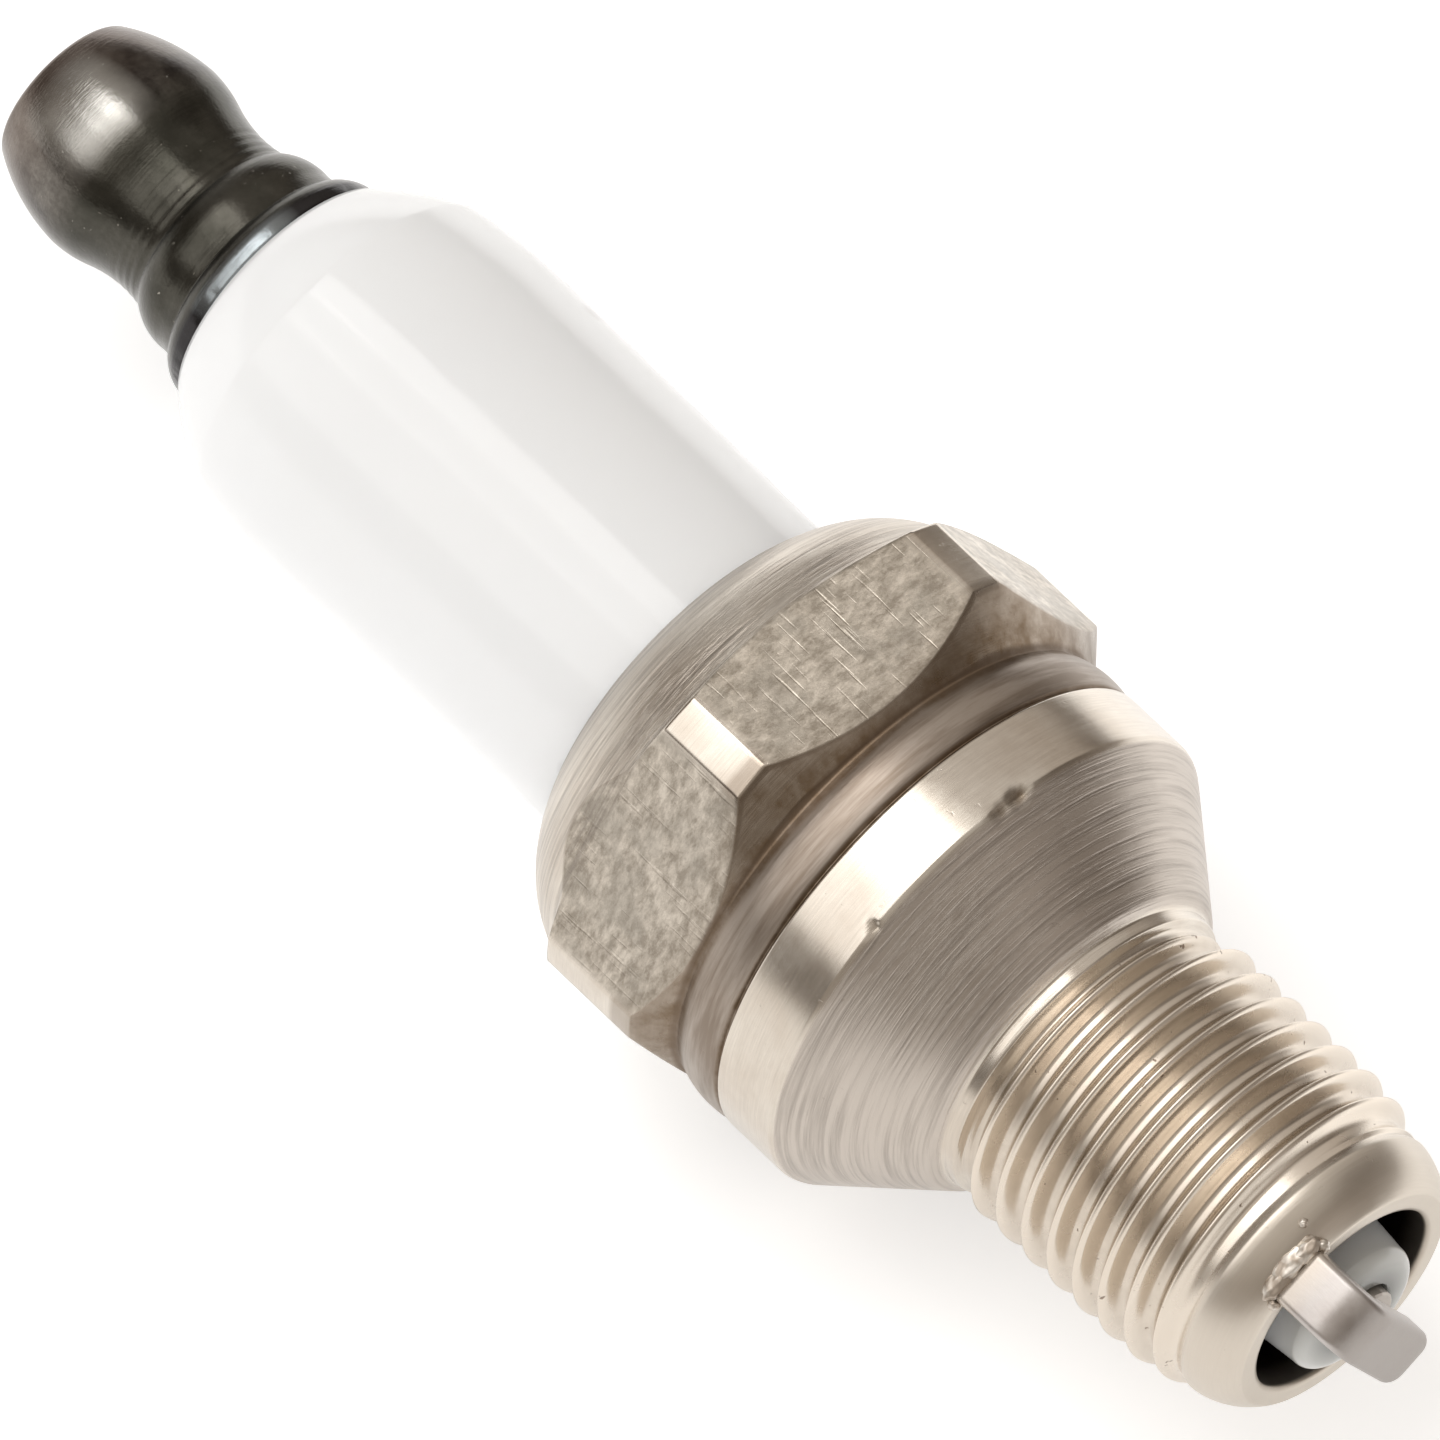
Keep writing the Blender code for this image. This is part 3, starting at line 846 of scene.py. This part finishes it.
def nick_depth(station, radius, angle):
    """How deep the dents cut into the surface here, in millimetres."""
    depth = 0.0
    for centre, nick_angle, half_length, half_round, deep in NICKS:
        along = (station - centre) / half_length
        round_the_plug = math.remainder(angle - nick_angle, 2 * math.pi) * radius / half_round
        distance = math.hypot(along, round_the_plug)
        depth += deep * (1.0 - smoothstep(0.2, 1.0, distance))
    return depth


def outside_row(station, radius):
    """A plain turned ring with its share of brown stain, painted shade and dents."""
    def row(angle):
        depth = nick_depth(station, radius, angle)
        return station, radius - depth, 0.0, min(1.0, stain_and_shade_at(station) + 6.0 * depth), 0.0
    return row


def thread_height(station, angle):
    """Height of the thread over its root: a narrow rounded crest and a broad root."""
    turned_from_y = angle + math.pi / 2
    turn = (station - THREAD_PHASE) / THREAD_PITCH - turned_from_y / (2 * math.pi)
    from_crest = abs(math.remainder(turn, 1.0))
    along = (station - THREAD_FIRST) / THREAD_PITCH
    rise = smoothstep(0.0, THREAD_RISE, along)
    left = max(0.0, THREAD_TURNS - along)
    sink = math.sqrt(min(1.0, left / THREAD_END_TURNS))
    full = THREAD_CREST - THREAD_ROOT
    height = rise * mix(THREAD_END_HEIGHT * min(1.0, 2 * left), full, sink)
    return height * (0.5 + 0.5 * math.cos(2 * math.pi * from_crest)) ** CREST_SHARPNESS


def thread_slide(angle):
    """How far along its rings follow the thread at this angle, in turns.

    They follow it for most of a turn and slide back on the side that faces down.
    """
    half = FOLLOW_TURNS / 2
    turn = (angle / (2 * math.pi) + FOLLOW_START) % 1.0
    if turn < FOLLOW_TURNS:
        return turn - half
    return mix(half, -half, (turn - FOLLOW_TURNS) / (1.0 - FOLLOW_TURNS))


def thread_row(level):
    """A ring that runs with the thread; level is its station on average."""
    ramp = smoothstep(THREAD_TOP, THREAD_TOP + THREAD_BLEND, level)
    ramp *= 1.0 - smoothstep(THREAD_BOTTOM - THREAD_BLEND, THREAD_BOTTOM, level)

    def row(angle):
        station = level + ramp * THREAD_PITCH * thread_slide(angle)
        height = thread_height(station, angle)
        depth = 1.0 - height / (THREAD_CREST - THREAD_ROOT)
        fade = 1.0 - smoothstep(THREAD_BOTTOM - 1.4, THREAD_BOTTOM, station)
        # Thread roots get some brown stain with painted shade.
        return station, THREAD_ROOT + height, 0.0, 0.20 * smoothstep(0.15, 1.0, depth) * fade, 0.0
    return row


def build_shell():
    """Crimp dome, hexagon, bulge, collar, conical seat, thread and nose as one skin."""
    crimp = [point for point in DOME if point[0] < DOME_PLAIN]
    rows = [outside_row(s, r) for s, r in refined([(SHELL_START, 5.50)] + crimp, 0.03)]
    rows += [dome_edge_row(share, 0) for share in DOME_SHARES]
    rows += [dome_edge_row(share, 1) for share in KNEE_SHARES]
    rows += [flat_row(share) for share in FLAT_SHARES]
    rows += [chamfer_row(share) for share in CHAMFER_SHARES]

    bulge = arc((32.86, 7.70), (33.6, 7.87), (34.38, 7.80), 12)
    collar = [(34.47, 7.70), (34.50, 7.70), (34.60, COLLAR), (36.62, COLLAR), (36.78, 7.78)]
    relief = [(40.30, 4.88), (40.66, 4.84), (40.78, 4.60)]
    cone = [(40.08, 5.22)] + relief + [(THREAD_TOP, THREAD_ROOT)]
    middle = refined([CHAMFER_END] + bulge + collar + cone, 0.05, 0.2)
    rows += [outside_row(s, r) for s, r in middle[1:-1]]

    turns = THREAD_BOTTOM - THREAD_TOP
    count = round(turns * ROWS_PER_TURN)
    rows += [thread_row(THREAD_TOP + turns * k / count) for k in range(count + 1)]

    nose = arc((49.35, 4.50), (50.15, 4.25), (SHELL_END - 0.06, 3.78), 12)
    end_face = [(SHELL_END, 3.70), (SHELL_END, 3.25)]
    tip = refined([(THREAD_BOTTOM, THREAD_ROOT)] + nose + end_face, 0.06, 0.12)
    rows += [outside_row(s, r) for s, r in tip[1:]]

    bore = refined([(50.74, 3.12), (50.62, 3.10), (43.72, 3.10), (43.72, 3.68), (37.30, 3.68),
                    (34.72, 6.62), (27.30, 6.62), (26.25, 5.55), (25.54, 5.50)], 0.05, 0.8)
    rows += [plain_row(s, r, 0.0, 0.3, smoothstep(50.8, 50.55, s)) for s, r in bore]

    shell = ring_piece("shell_skin", rows, hexagon_angles(), ("flat", "recess", "inside"))
    shell.data.materials.append(shell_material())
    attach(shell, "plug_body")
    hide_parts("shell")


# ------------------------ insulator
def build_insulator():
    """Glazed body from the terminal's seat down to the firing nose."""
    top = arc((INSULATOR_START, 3.93), (10.0, 4.74), (11.2, 5.34), 14)
    shoulder = arc((11.2, 5.34), (12.5, 5.50), (14.5, 5.57), 10)
    tip = INSULATOR_TIP
    nose = arc((tip - 0.50, 2.10), (tip - 0.15, 1.99), (tip, 1.66), 8)
    outline = top + shoulder[1:] + [
        (20.0, 5.50), (25.4, 5.43), (30.04, 5.41), (30.35, 6.50), (34.6, 6.50), (37.2, 3.55),
        (43.3, 3.55), (43.3, 2.95), (43.9, 2.80), (50.70, 2.12),
    ] + nose
    outline += [(tip, 1.12), (tip - 0.08, 1.06), (41.29, 1.06), (40.4, 1.95), (9.58, 1.95),
                (9.58, 2.84), (INSULATOR_START, 2.84)]
    body = turned_piece("insulator_glazed", refined(outline, 0.1, 0.4), 160)
    body.data.materials.append(ceramic_material())
    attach(body, "plug_body")
    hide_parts("insulator")


# ------------------------ terminal nut
def turning_groove(station):
    """Depth of the terminal's turning rings here; there are none before they start."""
    if station <= TURNING_START:
        return 0.0
    turn = 2 * math.pi * (station - TURNING_START) / TURNING_SPACING
    return TURNING_DEPTH * (1 - math.cos(turn))


def build_terminal():
    """Domed head, waist with turning rings, band and a chipped flange."""
    head = arc((0.10, 2.41), (1.3, 2.93), (2.75, 3.18), 18)
    shoulder = arc((2.75, 3.18), (3.35, 3.12), (3.85, 2.99), 8)
    neck = arc((3.85, 2.99), (5.0, 2.77), (6.06, 2.86), 40)
    ringed = [(s, r - turning_groove(s)) for s, r in neck]
    band = arc((6.16, 2.95), (6.5, 3.13), (7.3, 3.22), 10)
    flange = arc((7.86, 3.40), (8.12, 3.64), (8.45, NUT_FLANGE), 8)
    outline = [(0.0, 0.0), (0.0, 2.3)] + head + shoulder[1:] + ringed[1:] + band + [(7.80, 3.27)] + flange
    outer = refined(outline, 0.05, 0.2)

    def rim_row(station):
        def row(angle):
            chip = noise.noise(Vector((math.cos(angle), math.sin(angle), 0.3)) * 9.0)
            fine = noise.noise(Vector((math.cos(angle), math.sin(angle), 4.3)) * 30.0)
            worn = 0.07 * max(0.0, chip) + 0.03 * fine
            return station - 0.4 * worn, NUT_FLANGE - worn
        return row

    bore = refined([(NUT_END, 2.36), (8.49, 2.06), (2.6, 2.06), (2.05, 0.0)], 0.04, 0.5)
    rows = [plain_row(s, r) for s, r in outer]
    rows += [rim_row(NUT_END - 0.12), rim_row(NUT_END - 0.02)]
    rows += [plain_row(NUT_END, NUT_FLANGE - 0.15)] + [plain_row(s, r) for s, r in bore]
    nut = ring_piece("terminal_nut_turned", rows, even_angles(160))
    nut.data.materials.append(terminal_material())
    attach(nut, "terminal_nut")
    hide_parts("terminal_nut")


# ------------------------ ground electrode
def rounded_rectangle(width, height, radius):
    """Points round a rectangle whose middle is at the origin."""
    per_corner = 6
    points = []
    for k in range(4):
        centre_x = (width / 2 - radius) * (1 if k in (0, 3) else -1)
        centre_y = (height / 2 - radius) * (1 if k in (0, 1) else -1)
        for i in range(per_corner + 1):
            a = math.pi / 2 * (k + i / per_corner)
            points.append((centre_x + radius * math.cos(a), centre_y + radius * math.sin(a)))
    return points


# Heights over the strap's tip at which its rounding has sections.
TIP_STEPS = (0.75, 0.60, 0.46, 0.33, 0.22, 0.13, 0.06, 0.02, 0.0)


def strap_path():
    """Along the strap: station, height over the axis, and the turn of its section."""
    middle = STRAP_OUTER - STRAP_THICKNESS / 2
    bend = STRAP_BEND - STRAP_THICKNESS / 2
    root = station_of(strap_low.x)
    bend_station = LENGTH - STRAP_BEND
    bend_height = STRAP_OUTER - STRAP_BEND

    path = [(mix(root, bend_station, k / 8), middle, 0.0) for k in range(8)]
    for k in range(17):
        a = math.pi / 2 * k / 16
        path.append((bend_station + bend * math.sin(a), bend_height + bend * math.cos(a), a))
    arm = [mix(bend_height, STRAP_TIP + TIP_ROUNDING, k / 10) for k in range(1, 10)]
    arm += [STRAP_TIP + step for step in TIP_STEPS]
    return path + [(LENGTH - STRAP_THICKNESS / 2, height, math.pi / 2) for height in arm]


def build_strap():
    """Ground electrode: a flat wire bent over the centre electrode, with a rounded tip."""
    outward = outward_at(STRAP_ANGLE)
    sideways = sideways_at(STRAP_ANGLE)
    section = rounded_rectangle(STRAP_WIDTH, STRAP_THICKNESS, STRAP_CORNER)
    bm = bmesh.new()
    rings = []
    for station, height, turn in strap_path():
        on_arm = turn > 1.5
        to_tip = height - STRAP_TIP if on_arm else 1.0
        beyond = 1.0 - min(1.0, to_tip / TIP_ROUNDING)
        narrow = math.sqrt(1.0 - TIP_NARROWING * beyond ** 2)
        thin = 1.0 - TIP_THINNING * beyond ** 4
        normal = outward * math.cos(turn) + X_AXIS * math.sin(turn)
        centre = place(station, 0.0, 0.0) + outward * height * MM
        rings.append([
            bm.verts.new(centre + (sideways * x * narrow + normal * y * thin) * MM) for x, y in section
        ])
    for near, far in zip(rings, rings[1:]):
        bridge(bm, near, far)
    bm.faces.new(rings[0])
    bm.faces.new(rings[-1])
    strap = new_piece("ground_electrode_strap", bm)
    strap.data.materials.append(strap_material())
    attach(strap, "ground_electrode")
    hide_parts("ground_electrode")


# Lumps of the weld: station, distance from the axis, offset across the strap, then their
# half sizes along the plug, outward and across.
WELD_LUMPS = [
    (50.55, 3.96, -0.50, 0.32, 0.24, 0.60),
    (50.48, 4.00, 0.05, 0.36, 0.24, 0.66),
    (50.54, 3.96, 0.60, 0.32, 0.24, 0.52),
    (50.74, 3.78, 1.02, 0.20, 0.20, 0.20),
    (50.78, 3.72, -1.02, 0.17, 0.18, 0.18),
    (50.05, 4.22, 1.15, 0.14, 0.10, 0.14),
]


def add_weld_lump(bm, lump, seed):
    """One uneven lump; seed makes its unevenness its own."""
    station, radius, side, long, high, wide = lump
    outward = outward_at(STRAP_ANGLE)
    sideways = sideways_at(STRAP_ANGLE)
    made = bmesh.ops.create_icosphere(bm, subdivisions=4, radius=1.0)
    centre = place(station, 0.0, 0.0) + (outward * radius + sideways * side) * MM
    for vert in made["verts"]:
        direction = vert.co.normalized()
        swell = 1.0 + 0.16 * noise.noise(direction * 2.0 + Vector((seed, 0, 0)))
        swell += 0.04 * noise.noise(direction * 6.0 + Vector((seed, 3, 0)))
        p = direction * swell
        vert.co = centre + (X_AXIS * p.x * long + outward * p.z * high + sideways * p.y * wide) * MM


def build_weld():
    """Lumpy bead that the strap's root was welded with, on the shell's rounded nose."""
    bm = bmesh.new()
    for number, lump in enumerate(WELD_LUMPS, start=1):
        add_weld_lump(bm, lump, float(number))
    weld = new_piece("weld_bead", bm)
    weld.data.materials.append(weld_material())
    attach(weld, "plug_body")


# ------------------------ parts that keep their CAD shape
# Metal ones: node, material name, dark and light tone, roughness.
INNER_METALS = [
    ("terminal_stud", "stud_steel", (0.42, 0.40, 0.37), (0.58, 0.56, 0.52), 0.32),
    ("upper_packing_ring", "ring_wire", (0.35, 0.33, 0.31), (0.5, 0.48, 0.45), 0.4),
    ("lower_packing_ring", "ring_wire_lower", (0.35, 0.33, 0.31), (0.5, 0.48, 0.45), 0.4),
    ("inner_seal_washer", "seal_steel", (0.4, 0.38, 0.36), (0.55, 0.53, 0.5), 0.38),
    ("centre_electrode", "electrode_nickel", (0.32, 0.29, 0.26), (0.5, 0.46, 0.42), 0.4),
    ("centre_electrode_core", "copper", (0.62, 0.26, 0.14), (0.8, 0.4, 0.25), 0.3),
]

# Powder and glass ones: node, material name, dark and light tone, grain size, roughness.
INNER_POWDERS = [
    ("talc_packing", "pressed_talc", (0.66, 0.65, 0.61), (0.84, 0.83, 0.8), 0.12, 0.7),
    ("upper_glass_seal", "glass_seal", (0.13, 0.12, 0.12), (0.30, 0.22, 0.16), 0.2, 0.3),
    ("lower_glass_seal", "glass_seal_low", (0.13, 0.12, 0.12), (0.30, 0.22, 0.16), 0.2, 0.3),
    ("resistor", "carbon_glass", (0.02, 0.02, 0.022), (0.07, 0.07, 0.07), 0.15, 0.45),
]


def dress_inner_parts():
    """Materials for the solids inside, which keep the meshes they were packed with."""
    looks = {node: plain_metal_material(*look) for node, *look in INNER_METALS}
    looks.update({node: powder_material(*look) for node, *look in INNER_POWDERS})
    for node, material in looks.items():
        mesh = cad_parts[node].data
        mesh.materials.clear()
        mesh.materials.append(material)


# ------------------------ camera, floor and light
AXIS_LEAN = math.radians(21.0)  # the electrode end leans towards the viewer
VIEW_SIDE = math.radians(25.0)  # the viewer's side of the plug, from +Z towards -Y
AXIS_SLOPE = math.radians(43.4)  # the axis runs down to the right in the view
VIEW_STATION = 26.36  # the middle of the view is at this station
VIEW_OFFSET = -0.17  # and this far (mm) across the axis
LENS = 1500.0  # long, so that there is almost no perspective
CAMERA_DISTANCE = 1.617
SENSOR_WIDTH = 36.0


def stand(name, data, position, right, up, back):
    """Puts a camera or lamp in the scene at a position, facing away from back."""
    thing = bpy.data.objects.new(name, data)
    bpy.context.scene.collection.objects.link(thing)
    rotation = Matrix((right, up, back)).transposed()
    thing.matrix_world = Matrix.Translation(position) @ rotation.to_4x4()
    return thing


def build_camera():
    """A far camera with a long lens, on the viewer's side of the plug."""
    facing = outward_at(VIEW_SIDE)
    across = sideways_at(VIEW_SIDE)
    back = facing * math.cos(AXIS_LEAN) + X_AXIS * math.sin(AXIS_LEAN)
    along = (X_AXIS - back * back.x).normalized()
    right = along * math.cos(AXIS_SLOPE) + across * math.sin(AXIS_SLOPE)
    up = across * math.cos(AXIS_SLOPE) - along * math.sin(AXIS_SLOPE)
    target = place(VIEW_STATION, 0.0, 0.0) + across * VIEW_OFFSET * MM
    data = bpy.data.cameras.new("camera")
    data.lens = LENS
    data.sensor_width = SENSOR_WIDTH
    data.clip_start = 0.1
    data.clip_end = 10.0
    camera = stand("camera", data, target + back * CAMERA_DISTANCE, right, up, back)
    bpy.context.scene.camera = camera


# Strips of the overhead panel: name, where each starts and ends in degrees from straight
# up towards +Y, and its brightness.
KEY_STRIPS = [
    ("key_edge", 4.4, -10.0, 3.0),
    ("key_middle", -10.0, -30.0, 2.0),
    ("key_fade", -30.0, -64.0, 1.3),
]
KEY_LEAN = -0.39  # how far the panel stands back over the terminal
KEY_DISTANCE = 0.45
KEY_LENGTH = 0.34


def add_softbox(name, direction, distance, size, power):
    """A rectangular lamp in the given direction from the plug, facing it."""
    data = bpy.data.lights.new(name, "AREA")
    data.shape = "RECTANGLE"
    data.size, data.size_y = size
    data.energy = power
    towards = Vector(direction).normalized()
    middle = Vector((0.0, 0.0, AXIS_Z))
    sideways = X_AXIS - towards * towards.x
    sideways.normalize()
    upright = towards.cross(sideways)
    stand(name, data, middle + towards * distance, sideways, upright, towards)


def build_lights():
    """One wide overhead panel in three strips, brightest along its edge towards +Y."""
    for name, first, last, radiance in KEY_STRIPS:
        middle = math.radians((first + last) / 2)
        width = 2 * KEY_DISTANCE * math.tan(math.radians(abs(last - first)) / 2)
        direction = (KEY_LEAN, math.sin(middle), math.cos(middle))
        power = radiance * math.pi * KEY_LENGTH * width
        add_softbox(name, direction, KEY_DISTANCE, (KEY_LENGTH, width), power)


def compass(azimuth, elevation):
    """Direction at an azimuth from +X towards +Y and an elevation, both in degrees."""
    turn = math.radians(azimuth)
    lift = math.radians(elevation)
    return Vector((
        math.cos(turn) * math.cos(lift),
        math.sin(turn) * math.cos(lift),
        math.sin(lift),
    ))


# What surrounds the plug: azimuth, elevation, inner and outer size in degrees, colour.
ROOM = [
    (-70, 12, 30, 62, (0.40, 0.355, 0.31)),
    (-70, 62, 16, 40, (0.68, 0.63, 0.575)),
    (-104, 8, 8, 22, (0.24, 0.215, 0.19)),
    (128, 8, 8, 24, (0.13, 0.105, 0.085)),
    (115, 34, 12, 26, (0.58, 0.52, 0.46)),
    (75, 36, 8, 22, (0.19, 0.16, 0.135)),
    (132, 58, 16, 34, (0.70, 0.65, 0.595)),
    (12, 30, 8, 22, (0.62, 0.56, 0.51)),
    (168, 14, 10, 24, (0.62, 0.60, 0.57)),
    (0, 0, 14, 26, (1.05, 1.03, 1.00)),
]


WALLS = (0.29, 0.25, 0.215)
CEILING = (0.75, 0.71, 0.66)


def build_world():
    """A studio that is warm grey all round, with lighter and darker parts."""
    world = bpy.data.worlds.new("studio")
    bpy.context.scene.world = world
    world.use_nodes = True
    tree = world.node_tree
    direction = add_node(tree, "ShaderNodeTexCoord").outputs["Generated"]
    height = add_node(tree, "ShaderNodeSeparateXYZ", {0: direction}).outputs[2]
    overhead = remap(tree, height, 0.74, 0.94)
    sky = blend_colour(tree, overhead, WALLS, CEILING)
    for azimuth, elevation, inner, outer, colour in ROOM:
        patch = lobe(tree, direction, compass(azimuth, elevation), inner, outer)
        sky = blend_colour(tree, patch, sky, colour)
    background = tree.nodes["Background"]
    tree.links.new(sky, background.inputs[0])
    background.inputs[1].default_value = 1.0


FLOOR_HALF = 3.0  # metres
FLOOR_LEVEL = -0.02 * MM  # just under the plug's lowest point


def build_floor():
    """A pale floor that glows, most of all close by on the +Y side."""
    bm = bmesh.new()
    signs = [(-1, -1), (1, -1), (1, 1), (-1, 1)]
    bm.faces.new([bm.verts.new((x * FLOOR_HALF, y * FLOOR_HALF, FLOOR_LEVEL)) for x, y in signs])
    mesh = bpy.data.meshes.new("floor")
    bm.to_mesh(mesh)
    bm.free()
    floor = bpy.data.objects.new("floor", mesh)
    bpy.context.scene.collection.objects.link(floor)
    material, tree, shader = new_material("pale_floor")
    place_now = add_node(tree, "ShaderNodeTexCoord").outputs["Object"]
    across = add_node(tree, "ShaderNodeSeparateXYZ", {0: place_now}).outputs[1]
    brighter = remap(tree, across, 0.01, 0.04, 0.50, 1.0)
    far_away = remap(tree, calculate(tree, "ABSOLUTE", across), 0.06, 0.20, 0.0, 0.40)
    glow = calculate(tree, "SUBTRACT", brighter, far_away)
    connect(tree, shader, Base_Color=(0.86, 0.86, 0.86), Roughness=0.9,
            Emission_Color=(0.97, 0.985, 1.0), Emission_Strength=glow)
    mesh.materials.append(material)


bpy.context.scene.view_settings.view_transform = "Standard"
build_shell()
build_insulator()
build_terminal()
build_strap()
build_weld()
dress_inner_parts()
build_floor()
build_lights()
build_world()
build_camera()
